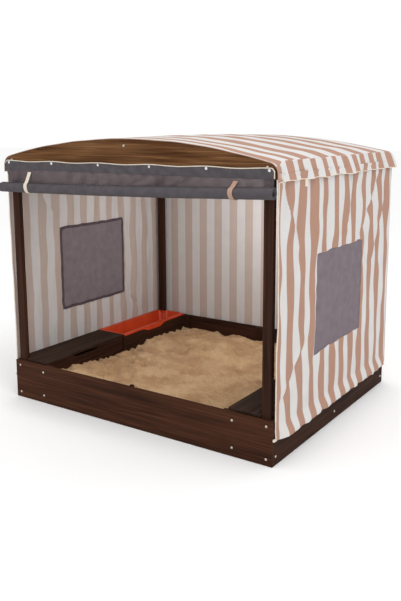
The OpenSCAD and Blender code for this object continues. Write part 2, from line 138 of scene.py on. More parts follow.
def select_only(thing):
    """Selects one object and makes it the one that operators work on."""
    deselect()
    bpy.context.view_layer.objects.active = thing
    thing.select_set(True)


deselect()
bpy.ops.mesh.primitive_plane_add(size=60, location=(0, 0, -0.001))
floor = bpy.context.object
floor.name = "floor"
paper, paper_shader = new_material("white_paper_sweep", Roughness=0.9, IOR=1.45)
paper_shader.inputs["Base Color"].default_value = colour("#fafafa")
floor.data.materials.append(paper)


# %% Lights
def soft_light(name, place, aim, size, power):
    """A white square soft box that points from place to aim."""
    data = bpy.data.lights.new(name, "AREA")
    data.size = size
    data.energy = power
    light = bpy.data.objects.new(name, data)
    bpy.context.collection.objects.link(light)
    light.location = place
    light.rotation_mode = "QUATERNION"
    light.rotation_quaternion = (Vector(aim) - Vector(place)).to_track_quat("-Z", "Y")
    light.visible_camera = False


world = bpy.data.worlds.new("studio")
bpy.context.scene.world = world
world.use_nodes = True
world.node_tree.nodes["Background"].inputs["Color"].default_value = colour("#ffffff")
world.node_tree.nodes["Background"].inputs["Strength"].default_value = 1.0
bpy.context.scene.view_settings.view_transform = "Standard"
soft_light("key", (2.2, -1.4, 4.4), (0, 0, 0.5), 2.2, 60)
soft_light("inside right", (0.3, 0.05, 0.85), (-0.55, 0.6, 0.45), 0.45, 3.6)
soft_light("under the roof", (0, 0, 1.0), (0, 0, 0), 0.7, 1.3)

# %% [markdown]
# ## Stained timber
#
# The boards are planed pine with a dark brown water stain, and the arches are a lighter brown. Stain
# sinks into the soft early wood and less into the hard late wood, so the grain shows as dark and light
# streaks a few millimetres wide and some hundred millimetres long. Noise that is stretched along the
# board gives the streaks, and a second, broader one gives the lighter worn places.


# %% Wood
def stained_pine(name, tones, along, shift):
    """Planed and stained pine whose grain runs along one axis: 0, 1 or 2."""
    material, shader = new_material(name, IOR=1.5, Specular_IOR_Level=0.07)
    place = add(material, "ShaderNodeTexCoord")
    streak = [1 / 0.007] * 3
    streak[along] = 1 / 0.28
    cloud = [1 / 0.045] * 3
    cloud[along] = 1 / 0.6
    narrow = add(material, "ShaderNodeMapping", values={"Scale": streak, "Location": shift},
                 links={"Vector": place.outputs["Object"]})
    broad = add(material, "ShaderNodeMapping", values={"Scale": cloud, "Location": shift},
                links={"Vector": place.outputs["Object"]})
    grain = add(material, "ShaderNodeTexNoise", values={"Scale": 1, "Detail": 5, "Distortion": 0.6},
                links={"Vector": narrow.outputs["Vector"]})
    worn = add(material, "ShaderNodeTexNoise", values={"Scale": 1, "Detail": 3},
               links={"Vector": broad.outputs["Vector"]})
    dark, mid, light = tones
    streaks = add(material, "ShaderNodeValToRGB", links={"Fac": grain.outputs["Fac"]},
                  stops=[(0.3, dark), (0.75, light), (0.52, mid)])
    patches = add(material, "ShaderNodeMapRange", values={"From Min": 0.42, "From Max": 0.75, "To Max": 0.6},
                  links={"Value": worn.outputs["Fac"]})
    tint = add(material, "ShaderNodeMix", {"data_type": "RGBA"}, {"B": colour(light)},
               {"Factor": patches.outputs["Result"], "A": streaks.outputs["Color"]})
    plug(material, tint.outputs["Result"], shader, "Base Color")
    sheen = add(material, "ShaderNodeMapRange", values={"To Min": 0.78, "To Max": 0.58},
                links={"Value": grain.outputs["Fac"]})
    plug(material, sheen.outputs["Result"], shader, "Roughness")
    ridges = add(material, "ShaderNodeBump", values={"Strength": 0.35, "Distance": 0.0006},
                 links={"Height": grain.outputs["Fac"]})
    plug(material, ridges.outputs["Normal"], shader, "Normal")
    return material


ESPRESSO = ("#22130d", "#321e15", "#44291c")
RED_BROWN = ("#28160d", "#3a2115", "#563423")
SEAT_BROWN = ("#231712", "#33241d", "#46342b")
GOLDEN = ("#341d0e", "#58381f", "#86603f")


def size_of(node):
    """A node's width, depth and height."""
    low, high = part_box(node)
    return [high[i] - low[i] for i in range(3)]


# %% [markdown]
# ## Softened timber edges
#
# A planed board's edges are sanded to about a millimetre's radius, and that thin rounded line is what
# catches the light. The design's boards have knife edges, so each gets a copy whose long edges are
# bevelled in edit mode, and the copy stands for the board. Screw holes keep their sharp rims, because
# the heads cover them.


# %% Round the long edges
EDGE_RADIUS = 0.0012
EDGE_STEPS = 2
SHARP_ANGLE = 0.6
SHORTEST_EDGE = 0.009


def rounded_copy(node):
    """A copy of a design node with its faces joined and its long sharp edges bevelled."""
    source = nodes[node]
    piece = bpy.data.objects.new(node + "_piece", source.data.copy())
    bpy.context.collection.objects.link(piece)
    select_only(piece)
    mesh = bmesh.new()
    mesh.from_mesh(piece.data)
    bmesh.ops.remove_doubles(mesh, verts=mesh.verts, dist=0.00001)
    bmesh.ops.dissolve_limit(mesh, angle_limit=0.01, verts=mesh.verts, edges=mesh.edges)
    sharp = [edge for edge in mesh.edges if edge.is_manifold and edge.calc_face_angle() > SHARP_ANGLE
             and edge.calc_length() > SHORTEST_EDGE]
    bmesh.ops.bevel(mesh, geom=sharp, offset=EDGE_RADIUS, segments=EDGE_STEPS, affect="EDGES", profile=0.5)
    mesh.to_mesh(piece.data)
    mesh.free()
    piece.data.materials.clear()
    bpy.ops.object.shade_smooth_by_angle(angle=math.radians(35))
    even = piece.modifiers.new("even shading", "WEIGHTED_NORMAL")
    even.keep_sharp = True
    bpy.ops.object.modifier_apply(modifier=even.name)
    return piece


def body_of(node):
    """The body that a node belongs to."""
    return next(b for b, names in frame["record"]["behaviour"]["bodies"].items() if node in names)


def wooden(node, tones):
    """A rounded copy of a timber node in stained pine, with the grain along its longest side."""
    piece = rounded_copy(node)
    size = size_of(node)
    along = size.index(max(size))
    number = list(nodes).index(node)
    shift = (number * 3.7, number * 1.3, 5)
    piece.data.materials.append(stained_pine("stained_pine_" + node, tones, along, shift))
    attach(piece, body_of(node))
    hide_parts(node)


TIMBER = {
    ESPRESSO: ["back_board", "left_board", "right_board", "front_left_post", "front_right_post",
               "back_left_post", "back_right_post", "left_eave_rail", "right_eave_rail", "ridge_rail",
               "left_inner_board", "right_inner_board", "left_partition", "right_partition",
               "front_cleat", "back_cleat", "left_cleats", "right_cleats", "left_front_lid_battens",
               "right_front_lid_battens", "right_rear_lid_battens"],
    RED_BROWN: ["front_board"],
    SEAT_BROWN: ["left_front_lid", "right_front_lid", "right_rear_lid"],
    GOLDEN: ["front_arch", "back_arch"],
}
for tones, names in TIMBER.items():
    for name in names:
        wooden(name, tones)
print("timber pieces:", sum(len(names) for names in TIMBER.values()))

# %% [markdown]
# ## Screws and press studs
#
# The screw heads are domed zinc-plated steel, and the header's press studs are nickel-plated. Plating
# leaves fine tumbled scratches, so the roughness is uneven. The roof's studs get a near-black colour, which is
# painted shade: the shadow that darkens them along the eave is put into their colour.


# %% Metal
def plated_steel(name, tone, rough, metal=1.0):
    """Tumbled and plated steel: bright, with uneven roughness."""
    material, shader = new_material(name, Metallic=metal)
    place = add(material, "ShaderNodeTexCoord")
    spots = add(material, "ShaderNodeTexNoise", values={"Scale": 1 / 0.002, "Detail": 3},
                links={"Vector": place.outputs["Object"]})
    tones = add(material, "ShaderNodeValToRGB", links={"Fac": spots.outputs["Fac"]},
                stops=[(0.3, tone[0]), (0.7, tone[1])])
    plug(material, tones.outputs["Color"], shader, "Base Color")
    gloss = add(material, "ShaderNodeMapRange", values={"To Min": rough - 0.1, "To Max": rough + 0.1},
                links={"Value": spots.outputs["Fac"]})
    plug(material, gloss.outputs["Result"], shader, "Roughness")
    return material


zinc = plated_steel("zinc_plated_steel", ("#a39a8c", "#d8cfc2"), 0.42, 0.8)
nickel = plated_steel("nickel_plated_brass", ("#c9cac8", "#f0f0ee"), 0.25)
# The roof studs' near-black tone is painted shade, not a paint finish.
shaded_stud_steel = plated_steel("stud_steel_with_painted_shade", ("#1d1b1b", "#343030"), 0.5, 0.2)


def finish_node(node, material):
    """Gives a design node one material."""
    nodes[node].data.materials.clear()
    nodes[node].data.materials.append(material)


for name in nodes:
    if name.endswith("_screws"):
        finish_node(name, zinc)
finish_node("header_studs", nickel)
finish_node("roof_studs", shaded_stud_steel)

# %% [markdown]
# ## Cloth
#
# The roof and walls are a firm polyester canvas, printed with stripes before it was cut. A stripe is
# part of the cloth, so it bends, narrows and disappears into a fold with it. Each sheet therefore
# carries a map of where its points lay on the flat cut, and the stripes and the weave read that map.
# The threads are half a millimetre apart, too fine to show, so the weave is drawn at 1.6 mm. The print
# shows paler on the cloth's reverse side, so the inside has a material of its own.

# %% Striped canvas
STRIPE_PITCH = 0.0925
WEAVE = 0.0016


def weave_height(material, flat, spacing):
    """Crossed threads of a plain weave, as a height. A wave's band is 0.314 / Scale wide."""
    high = {}
    for axis in ("X", "Y"):
        high[axis] = add(material, "ShaderNodeTexWave", {"bands_direction": axis},
                         {"Scale": 0.314 / spacing, "Distortion": 0.2},
                         {"Vector": flat.outputs["UV"]})
    return add(material, "ShaderNodeMath", {"operation": "MULTIPLY"}, {},
               {0: high["X"].outputs["Fac"], 1: high["Y"].outputs["Fac"]})


def striped_canvas(name, tan, white, rough=0.85):
    """Printed polyester canvas with stripes along the cut's length."""
    material, shader = new_material(name, Roughness=rough, IOR=1.45, Specular_IOR_Level=0.2)
    flat = add(material, "ShaderNodeTexCoord")
    split = add(material, "ShaderNodeSeparateXYZ", links={"Vector": flat.outputs["UV"]})
    turns = add(material, "ShaderNodeMath", {"operation": "DIVIDE"}, {1: STRIPE_PITCH},
                {0: split.outputs["X"]})
    part = add(material, "ShaderNodeMath", {"operation": "FRACT"}, {}, {0: turns.outputs["Value"]})
    stripes = add(material, "ShaderNodeValToRGB", links={"Fac": part.outputs["Value"]},
                  stops=[(0.0, tan), (1.0, tan), (0.47, tan), (0.49, white), (0.98, white)])
    mottled = add(material, "ShaderNodeTexNoise", values={"Scale": 1 / 0.05, "Detail": 4},
                  links={"Vector": flat.outputs["Object"]})
    shade = add(material, "ShaderNodeMapRange", values={"To Min": 0.93, "To Max": 1.05},
                links={"Value": mottled.outputs["Fac"]})
    tint = add(material, "ShaderNodeMix", {"data_type": "RGBA", "blend_type": "MULTIPLY"}, {"Factor": 1.0},
               {"A": stripes.outputs["Color"], "B": shade.outputs["Result"]})
    plug(material, tint.outputs["Result"], shader, "Base Color")
    threads = weave_height(material, flat, WEAVE)
    bump = add(material, "ShaderNodeBump", values={"Strength": 0.25, "Distance": 0.0003},
               links={"Height": threads.outputs["Value"]})
    plug(material, bump.outputs["Normal"], shader, "Normal")
    return material


canvas = striped_canvas("striped_polyester_canvas", "#aa8573", "#cfcdcb")
canvas_inside = striped_canvas("striped_polyester_canvas_reverse", "#b7a79e", "#c9c5c3", 0.95)
BOTH_SIDES = (canvas, canvas_inside)


# %% [markdown]
# ## Making a sheet
#
# A sheet is a grid of points. One function says where a point of the flat cut hangs, and another says
# what part of the print lies there, so a fold can hide some of the stripe. The sheet then gets the
# cloth's thickness. Perlin noise, which is the same on each run, gives the folds.


# %% Sheets
def spread(first, last, step):
    """Evenly spaced values from first to last, about step apart."""
    count = max(1, round((last - first) / step))
    return [first + (last - first) * i / count for i in range(count + 1)]


def marked_spread(low, high, marks, step):
    """Values from low to high that include the marks, so that an opening or a seam lies on a row."""
    rows = []
    for first, last in zip([low, *marks], [*marks, high]):
        rows += spread(first, last, step)[:-1]
    return rows + [high]


def sheet(name, cloth, across, down, place, print_at, thick=0.0012, hole=None):
    """A grid of cloth. hole(u, v) tells the cells to leave out, and cloth is its outer and inner material."""
    points = [place(u, v) for v in down for u in across]
    cut = [print_at(u, v) for v in down for u in across]
    wide = len(across)
    faces = []
    for j in range(len(down) - 1):
        for i in range(wide - 1):
            middle = ((across[i] + across[i + 1]) / 2, (down[j] + down[j + 1]) / 2)
            if hole and hole(*middle):
                continue
            at = j * wide + i
            faces.append((at, at + 1, at + wide + 1, at + wide))
    mesh = bpy.data.meshes.new(name)
    mesh.from_pydata(points, [], faces)
    flat = mesh.uv_layers.new(name="flat_cut")
    for loop in mesh.loops:
        flat.data[loop.index].uv = cut[loop.vertex_index]
    piece = bpy.data.objects.new(name, mesh)
    bpy.context.collection.objects.link(piece)
    clean = bmesh.new()
    clean.from_mesh(mesh)
    bmesh.ops.delete(clean, geom=[v for v in clean.verts if not v.link_faces], context="VERTS")
    clean.to_mesh(mesh)
    clean.free()
    for material in cloth:
        mesh.materials.append(material)
    thicken(piece, thick)
    return piece


def thicken(piece, thick):
    """Gives a sheet its thickness, half to each side, and smooth shading."""
    select_only(piece)
    solid = piece.modifiers.new("thickness", "SOLIDIFY")
    solid.thickness = thick
    solid.offset = 0
    solid.material_offset = len(piece.data.materials) - 1
    bpy.ops.object.modifier_apply(modifier=solid.name)
    bpy.ops.object.shade_smooth_by_angle(angle=math.radians(50))


def ripple(a, b, seed):
    """Smooth noise from about -1 to 1 that is the same on each run."""
    return noise.noise(Vector((a, b, seed))) * 1.6


def rise(value, low, high):
    """Goes smoothly from 0 at low to 1 at high."""
    t = min(1, max(0, (value - low) / (high - low)))
    return t * t * (3 - 2 * t)


def cord_piece(name, points, radius, material):
    """A thin round piping through some points, made as a curve with a round bevel."""
    data = bpy.data.curves.new(name, "CURVE")
    data.dimensions = "3D"
    data.bevel_depth = radius
    data.bevel_resolution = 2
    data.use_fill_caps = True
    line = data.splines.new("POLY")
    line.points.add(len(points) - 1)
    for point, place in zip(line.points, points):
        point.co = (*place, 1)
    piece = bpy.data.objects.new(name, data)
    bpy.context.collection.objects.link(piece)
    select_only(piece)
    bpy.ops.object.convert(target="MESH")
    piece = bpy.context.object
    bpy.ops.object.shade_smooth()
    piece.data.materials.append(material)
    return piece


# %% Plain woven tape and grey cloth
def woven(name, tones, spacing, alpha=1.0):
    """Plain dyed cloth: crossed threads, slightly uneven in tone."""
    material, shader = new_material(name, Roughness=0.85, IOR=1.45, Alpha=alpha, Specular_IOR_Level=0.15)
    place = add(material, "ShaderNodeTexCoord")
    mottled = add(material, "ShaderNodeTexNoise", values={"Scale": 1 / 0.03, "Detail": 5},
                  links={"Vector": place.outputs["Object"]})
    threads = add(material, "ShaderNodeTexWave", {"bands_direction": "DIAGONAL"},
                  {"Scale": 0.314 / spacing, "Distortion": 0.5}, {"Vector": place.outputs["Object"]})
    both = add(material, "ShaderNodeMath", {"operation": "MULTIPLY_ADD"}, {1: 0.35},
               {0: threads.outputs["Fac"], 2: mottled.outputs["Fac"]})
    tint = add(material, "ShaderNodeValToRGB", links={"Fac": both.outputs["Value"]},
               stops=[(0.35, tones[0]), (0.95, tones[1])])
    plug(material, tint.outputs["Color"], shader, "Base Color")
    bump = add(material, "ShaderNodeBump", values={"Strength": 0.3, "Distance": 0.0003},
               links={"Height": threads.outputs["Fac"]})
    plug(material, bump.outputs["Normal"], shader, "Normal")
    return material


cream_tape = woven("cream_cotton_tape", ("#cdbfae", "#e4d9cb"), 0.0015)
grey_canvas = woven("grey_polyester_canvas", ("#484447", "#585457"), 0.0015)
tan_tape = woven("tan_cotton_tape", ("#9c7765", "#b79a89"), 0.0015)
dark_tape = woven("dark_polyester_tape", ("#4a3d42", "#5f5157"), 0.0015)
fly_mesh = woven("grey_fly_mesh", ("#5a4f53", "#72666b"), 0.003, alpha=0.68)
window_mesh = woven("grey_window_mesh", ("#70656b", "#83787e"), 0.007, alpha=0.9)

# %% [markdown]
# ## Roof
#
# The roof is one cloth over both arches that falls past the eaves as a valance on each side. Its
# section is the arch's arc, a small round corner and a straight drop. Between the arches it stands a few
# millimetres proud along the ridge and turns down sharply at the eave, where the valance is sewn on. The
# roof panel's stripes are broader than the valance's, so the print changes at that seam. The valances'
# lower edges wave, because the cloth there is longer than the eave that it is pulled over.

# %% Roof section
roof_low, roof_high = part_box("canopy_roof")
arch_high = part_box("front_arch")[1]
ARCH_RISE = 0.078
arch_half = arch_high[0]
arc_radius = (arch_half ** 2 + ARCH_RISE ** 2) / (2 * ARCH_RISE)
arc_centre = arch_high[2] - arc_radius
roof_radius = roof_high[2] - 0.001 - arc_centre
ROOF_CORNER = 0.038
roof_side = roof_high[0] - 0.001
corner_x = roof_side - ROOF_CORNER
corner_z = arc_centre + math.sqrt((roof_radius - ROOF_CORNER) ** 2 - corner_x ** 2)
corner_turn = math.atan2(corner_z - arc_centre, corner_x)
CORNER_STEPS = 12
ARC_STEPS = 60


def roof_section():
    """Points of the right half of the roof's section, from the valance's foot to the ridge."""
    points = [(roof_side, z) for z in spread(roof_low[2], corner_z, 0.006)]
    for i in range(1, CORNER_STEPS + 1):
        angle = corner_turn * i / CORNER_STEPS
        points.append((corner_x + ROOF_CORNER * math.cos(angle), corner_z + ROOF_CORNER * math.sin(angle)))
    for i in range(1, ARC_STEPS + 1):
        angle = corner_turn + (math.pi / 2 - corner_turn) * i / ARC_STEPS
        points.append((roof_radius * math.cos(angle), arc_centre + roof_radius * math.sin(angle)))
    return points


half_section = roof_section()
section = half_section + [(-x, z) for x, z in reversed(half_section[:-1])]
lengths = [0]
for (x0, z0), (x1, z1) in zip(section, section[1:]):
    lengths.append(lengths[-1] + math.hypot(x1 - x0, z1 - z0))
roof_cut = lengths[-1]
drop = corner_z - roof_low[2]
eave_at = drop + ROOF_CORNER * corner_turn
print("roof cloth, cut length across:", round(roof_cut, 3))


def on_section(s):
    """Place and outward direction on the section at cut length s."""
    i = max(1, next((k for k, length in enumerate(lengths) if length >= s), len(lengths) - 1))
    t = (s - lengths[i - 1]) / (lengths[i] - lengths[i - 1])
    (x0, z0), (x1, z1) = section[i - 1], section[i]
    along = Vector((x1 - x0, 0, z1 - z0)).normalized()
    return Vector((x0 + (x1 - x0) * t, 0, z0 + (z1 - z0) * t)), Vector((along.z, 0, -along.x))


def valance_share(s):
    """1 at a valance's foot, 0 at the eave and over the roof."""
    return max(1 - rise(s, 0, eave_at), 1 - rise(roof_cut - s, 0, eave_at))


rail_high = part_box("right_eave_rail")[1]
FOLD = (rail_high[0] + 0.004, rail_high[2] + 0.012)
print("fold over the eave at:", round(FOLD[0], 3), round(FOLD[1], 3), "rail top", round(rail_high[2], 3))


def to_fold(s):
    """How far a point moves so that the cloth folds sharply over the eave rail, as (outward, upward)."""
    s = min(s, roof_cut - s)
    angle = min(max((s - drop) / ROOF_CORNER, 0), corner_turn)
    tight = 0.010
    centre = (FOLD[0] - tight, FOLD[1] - tight)
    outward = centre[0] + tight * math.cos(angle) - corner_x - ROOF_CORNER * math.cos(angle)
    upward = centre[1] + tight * math.sin(angle) - corner_z - ROOF_CORNER * math.sin(angle)
    share = min(1, s / drop) * (1 - rise(s, eave_at, eave_at + 0.14))
    return outward * share, upward * share


def roof_place(y, s):
    """Where a point of the roof cloth hangs."""
    place, out = on_section(s)
    share = valance_share(s)
    side = 1 if s < roof_cut / 2 else -1
    over = 1 - rise(abs(place.x), 0.54, 0.63)
    along = (y - roof_low[1]) / (roof_high[1] - roof_low[1])
    middle = math.sin(math.pi * min(1, max(0, along)))
    quarter = math.sin(math.pi * min(1, abs(place.x) / 0.63))
    sag = (0.008 - 0.004 * quarter) * middle ** 0.8 * over + 0.0012 * ripple(place.x / 0.12, y / 0.2, 4)
    wave = 0.010 * share * (0.35 + ripple(y / 0.055, side * 2.3, 7))
    corner = rise(y, 0.42, roof_high[1])
    shift = max(0, wave) + 0.014 * share * corner + sag * (1 - share)
    hem = 0.005 * share * ripple(y / 0.10, side * 5.1, 9)
    between = rise(along, 0.0, 0.08) * (1 - 0.4 * rise(along, 0.93, 1.0))
    outward, upward = to_fold(s)
    return (place.x + out.x * shift + side * outward * between, y + 0.008 * share * corner,
            place.z + out.z * shift + upward * between + hem)


SEAM = drop + ROOF_CORNER * corner_turn * 0.5


def roof_print(y, s):
    """The valance's print drifts with its folds, and the roof panel's broadens towards the back."""
    side = 1 if s < roof_cut / 2 else -1
    inward = min(s, roof_cut - s) - SEAM
    if inward <= 0:
        share = valance_share(s)
        return (y + 0.545 + 0.016 * share * ripple(y / 0.08, s / 0.10 * side, 12), s)
    front = min(y, -0.33)
    broad = 0.56 * (y - front)
    return (0.52 + front + broad + 0.006 * ripple(y / 0.16, s / 0.22, 3) - 0.05 * rise(inward, 0, 0.6), s)


seams = [SEAM - 0.0015, SEAM + 0.0015, roof_cut - SEAM - 0.0015, roof_cut - SEAM + 0.0015]
down_roof = marked_spread(0, roof_cut, seams, 0.008)
roof = sheet("roof_cloth", BOTH_SIDES, spread(roof_low[1], roof_high[1] - 0.001, 0.009), down_roof,
             roof_place, roof_print)
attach(roof, "frame")
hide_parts("canopy_roof")

# %% Roof's front binding and the valances' hems
roof_edge = [roof_place(roof_low[1], s) for s in spread(0, roof_cut, 0.01)]
roof_binding = cord_piece("roof_front_binding", roof_edge, 0.0014, tan_tape)
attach(roof_binding, "frame")
for word, foot in (("right", 0), ("left", roof_cut)):
    line = [roof_place(y, foot) for y in spread(roof_low[1], roof_high[1] - 0.001, 0.009)]
    hem = cord_piece(word + "_valance_hem", line, 0.0017, cream_tape)
    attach(hem, "frame")

# %% [markdown]
# ## Walls
#
# Each side wall hangs from the eave to just above the box's foot, outside the boards, with a mesh
# window sewn into it. It was packed folded and hangs slack, so it has long soft folds and a few sharp
# diagonal creases that swallow part of a stripe. The folds are small, because the wall has to stay
# outside the posts and boards.

# %% Side walls
wall_low, wall_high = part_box("right_wall")
window_low, window_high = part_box("right_window")
WALL_X = (wall_low[0] + wall_high[0]) / 2
# Creases: the start and end as (depth, height), and the cloth that each swallows, in metres.
RIGHT_CREASES = [
    ((-0.50, 1.00), (-0.36, 0.76), 0.013),
    ((-0.30, 0.42), (-0.49, 0.235), 0.014),
    ((0.10, 0.97), (0.05, 0.73), 0.011),
    ((0.38, 0.99), (0.20, 0.755), 0.015),
    ((0.43, 0.84), (0.32, 0.61), 0.013),
]
LEFT_CREASES = [((-0.40, 0.95), (-0.25, 0.78), 0.008), ((0.27, 0.30), (0.36, 0.20), 0.006)]


def from_crease(y, z, start, end):
    """Signed distance to a crease's line, and how much of the crease is there."""
    along = Vector((end[0] - start[0], end[1] - start[1]))
    length = along.length
    along.normalize()
    away = Vector((y - start[0], z - start[1]))
    share = away.dot(along) / length
    side = along.x * away.y - along.y * away.x
    return side, rise(share, -0.12, 0.1) * (1 - rise(share, 0.85, 1.12))


def wall_shift(y, z, side):
    """How far the wall stands out at a point."""
    fold = 0.0045 * ripple(y / 0.06, z / 0.34, 20 + side) + 0.002 * ripple(y / 0.025, z / 0.12, 30 + side)
    creases = RIGHT_CREASES if side > 0 else LEFT_CREASES
    for start, end, swallowed in creases:
        away, share = from_crease(y, z, start, end)
        ridge = 0.005 * math.exp(-(away / 0.007) ** 2)
        valley = 0.003 * math.exp(-((away - 0.018) / 0.016) ** 2)
        fold += share * (ridge - valley)
    foot = 1 - rise(z, wall_low[2], wall_low[2] + 0.055)
    tied = rise(y, wall_low[1], wall_low[1] + 0.08) * (1 - rise(y, wall_high[1] - 0.05, wall_high[1]))
    flare = foot * (0.003 + 0.014 * tied + 0.005 * tied * ripple(y / 0.045, 0, 41 + side))
    at_window = rise(y, window_low[1] - 0.06, window_low[1]) * (1 - rise(y, window_high[1], window_high[1] + 0.06))
    at_window *= rise(z, window_low[2] - 0.06, window_low[2]) * (1 - rise(z, window_high[2], window_high[2] + 0.06))
    total = fold * (1 - 0.7 * at_window) + flare
    held = max(rise(abs(y), 0.47, 0.5), 1 - rise(z, 0.18, 0.21), rise(z, 0.985, 1.0))
    return max(total, -0.0015) * held + total * (1 - held)


def wall_print(y, z, side):
    """Where on the flat cut the cloth at a point comes from."""
    loose = 0.8 + 0.3 * rise(z, 0.5, 0.8) if side > 0 else 0.45
    drift = 0.0135 * loose * ripple(y / 0.06, z / 0.14, 50 + side)
    creases = RIGHT_CREASES if side > 0 else LEFT_CREASES
    for start, end, swallowed in creases:
        away, share = from_crease(y, z, start, end)
        fade = math.exp(-max(0, abs(away) - 0.01) / 0.08)
        drift += swallowed * share * fade * (2 * rise(away, -0.007, 0.007) - 1)
    return (y + 0.545 + drift, z)


def in_window(y, z):
    """True inside the window's opening."""
    return window_low[1] < y < window_high[1] and window_low[2] < z < window_high[2]


def pulled(y, z, side):
    """Moves a point within the wall, so that the window's edges wander and one corner droops."""
    beside = math.exp(-(min(abs(y - window_low[1]), abs(y - window_high[1])) / 0.03) ** 2)
    beside *= rise(z, window_low[2] - 0.05, window_low[2]) * (1 - rise(z, window_high[2], window_high[2] + 0.05))
    above = math.exp(-(min(abs(z - window_low[2]), abs(z - window_high[2])) / 0.03) ** 2)
    above *= rise(y, window_low[1] - 0.05, window_low[1]) * (1 - rise(y, window_high[1], window_high[1] + 0.05))
    size = 0.0035 if side > 0 else 0.0025
    new_y = y + size * beside * ripple(z / 0.035, y / 0.2, 71 + side)
    new_z = z + size * above * ripple(y / 0.035, z / 0.2, 75 + side)
    if side > 0:
        droop = math.exp(-((y - window_low[1]) / 0.075) ** 2 - ((z - window_low[2]) / 0.05) ** 2)
        new_y -= 0.009 * droop
        new_z -= 0.010 * droop
    return new_y, new_z


def side_wall(name, node, side):
    """One side wall with its window opening."""
    ys = marked_spread(wall_low[1], wall_high[1], [window_low[1], window_high[1]], 0.008)
    zs = marked_spread(wall_low[2], wall_high[2], [window_low[2], window_high[2]], 0.009)
    if side < 0:
        ys = ys[::-1]

    def place(y, z):
        new_y, new_z = pulled(y, z, side)
        return (side * (WALL_X + wall_shift(y, z, side)), new_y, new_z)

    piece = sheet(name, BOTH_SIDES, ys, zs, place, lambda y, z: wall_print(y, z, side), hole=in_window)
    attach(piece, "frame")
    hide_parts(node)
    return piece


walls = {side: side_wall(name, node, side)
         for side, name, node in ((1, "right_wall_cloth", "right_wall"), (-1, "left_wall_cloth", "left_wall"))}

# %% [markdown]
# ## Windows and bindings
#
# A window is a pane of grey mesh, sewn behind an opening with a dark tape round its edge. The pane and
# the tape are moved by the same two functions as the wall, so they follow its folds and don't come
# away from it. The tape is one closed strip, because four separate ones would show gaps at the round
# corners. A cream binding runs down each wall's front edge.

# %% Windows
PANE_EDGE = 0.008
TAPE = 0.013


def window_tape(side, word):
    """Dark tape round a window on the wall's inner side, as one closed strip with round corners."""
    middle = [(window_low[i] + window_high[i]) / 2 for i in (1, 2)]
    half = [(window_high[i] - window_low[i]) / 2 + PANE_EDGE - TAPE / 2 for i in (1, 2)]
    bend = 0.016
    path = []
    for quarter, (a, b) in enumerate(((1, 1), (-1, 1), (-1, -1), (1, -1))):
        corner = [middle[0] + a * (half[0] - bend), middle[1] + b * (half[1] - bend)]
        for i in range(5):
            turn = math.pi / 2 * (quarter + i / 4)
            path.append((corner[0] + bend * math.cos(turn), corner[1] + bend * math.sin(turn), turn))
        run = half[quarter % 2] - bend
        steps = round(2 * run / 0.02)
        ahead = (-math.sin(turn), math.cos(turn))
        for i in range(1, steps):
            path.append((path[-1][0] + ahead[0] * 2 * run / steps, path[-1][1] + ahead[1] * 2 * run / steps, turn))
    path.append(path[0])

    def place(i, off):
        y = path[i][0] + off * math.cos(path[i][2])
        z = path[i][1] + off * math.sin(path[i][2])
        new_y, new_z = pulled(y, z, side)
        return (side * (WALL_X - 0.0026 + wall_shift(y, z, side)), new_y, new_z)

    numbers = list(range(len(path)))
    if side > 0:
        numbers = numbers[::-1]
    tape = sheet(word + "_window_tape", (dark_tape,), numbers, (TAPE / 2, 0, -TAPE / 2), place,
                 lambda i, off: (i * 0.02, off))
    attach(tape, "frame")
    return tape


for side, word in ((1, "right"), (-1, "left")):
    ys = spread(window_low[1] - PANE_EDGE, window_high[1] + PANE_EDGE, 0.009)
    zs = spread(window_low[2] - PANE_EDGE, window_high[2] + PANE_EDGE, 0.009)
    if side < 0:
        ys = ys[::-1]

    def pane_place(y, z):
        new_y, new_z = pulled(y, z, side)
        return (side * (WALL_X - 0.0013 + wall_shift(y, z, side)), new_y, new_z)

    pane = sheet(word + "_window_mesh", (window_mesh,), ys, zs, pane_place, lambda y, z: (y, z), thick=0.0006)
    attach(pane, "frame")
    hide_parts(word + "_window")
    window_tape(side, word)

# %% Wall bindings
for side, word in ((1, "right"), (-1, "left")):
    line = [(side * (WALL_X + wall_shift(wall_low[1], z, side)), wall_low[1], z)
            for z in spread(wall_low[2], wall_high[2], 0.012)]
    binding = cord_piece(word + "_wall_binding", line, 0.0024, cream_tape)
    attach(binding, "frame")

# %% [markdown]
# ## Back wall
#
# The back wall is pulled taut between the two rear corners, so its stripes stay straight.

# %% Back wall
back_low, back_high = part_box("back_wall")
BACK_Y = (back_low[1] + back_high[1]) / 2


def back_top(x):
    """Height of the back wall's upper edge, just under the roof."""
    inside = min(abs(x), back_high[0] - 0.001)
    if inside > corner_x:
        return corner_z + math.sqrt(max(0, (ROOF_CORNER - 0.002) ** 2 - (inside - corner_x) ** 2)) - 0.001
    return arc_centre + math.sqrt((roof_radius - 0.003) ** 2 - inside ** 2)


def back_place(x, share):
    """The back wall's point at a share of its height."""
    z = back_low[2] + (back_top(x) - back_low[2]) * share
    puff = 0.0012 * ripple(x / 0.3, z / 0.5, 61)
    puff += 0.003 * (1 - rise(z, 0.1, 0.16)) * (0.5 + ripple(x / 0.06, 0, 62))
    return (x, BACK_Y + max(puff, -0.001), z)


back_tall = back_high[2] - back_low[2]
back_half = back_high[0] - 0.0005
back = sheet("back_wall_cloth", BOTH_SIDES, spread(-back_half, back_half, 0.012)[::-1], spread(0, 1, 0.012),
             back_place, lambda x, share: (x + 0.655, share * back_tall))
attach(back, "frame")
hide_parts("back_wall")

# %% [markdown]
# ## Curtain
#
# A band of grey canvas is held on the front arch by press studs. Under it hangs a fly mesh, rolled up
# at its foot and held by two tie straps. The band sags a little between the studs, and its upper edge
# has a cream piping. The roll is one long strip of cloth wound on itself, so it is made as a spiral.

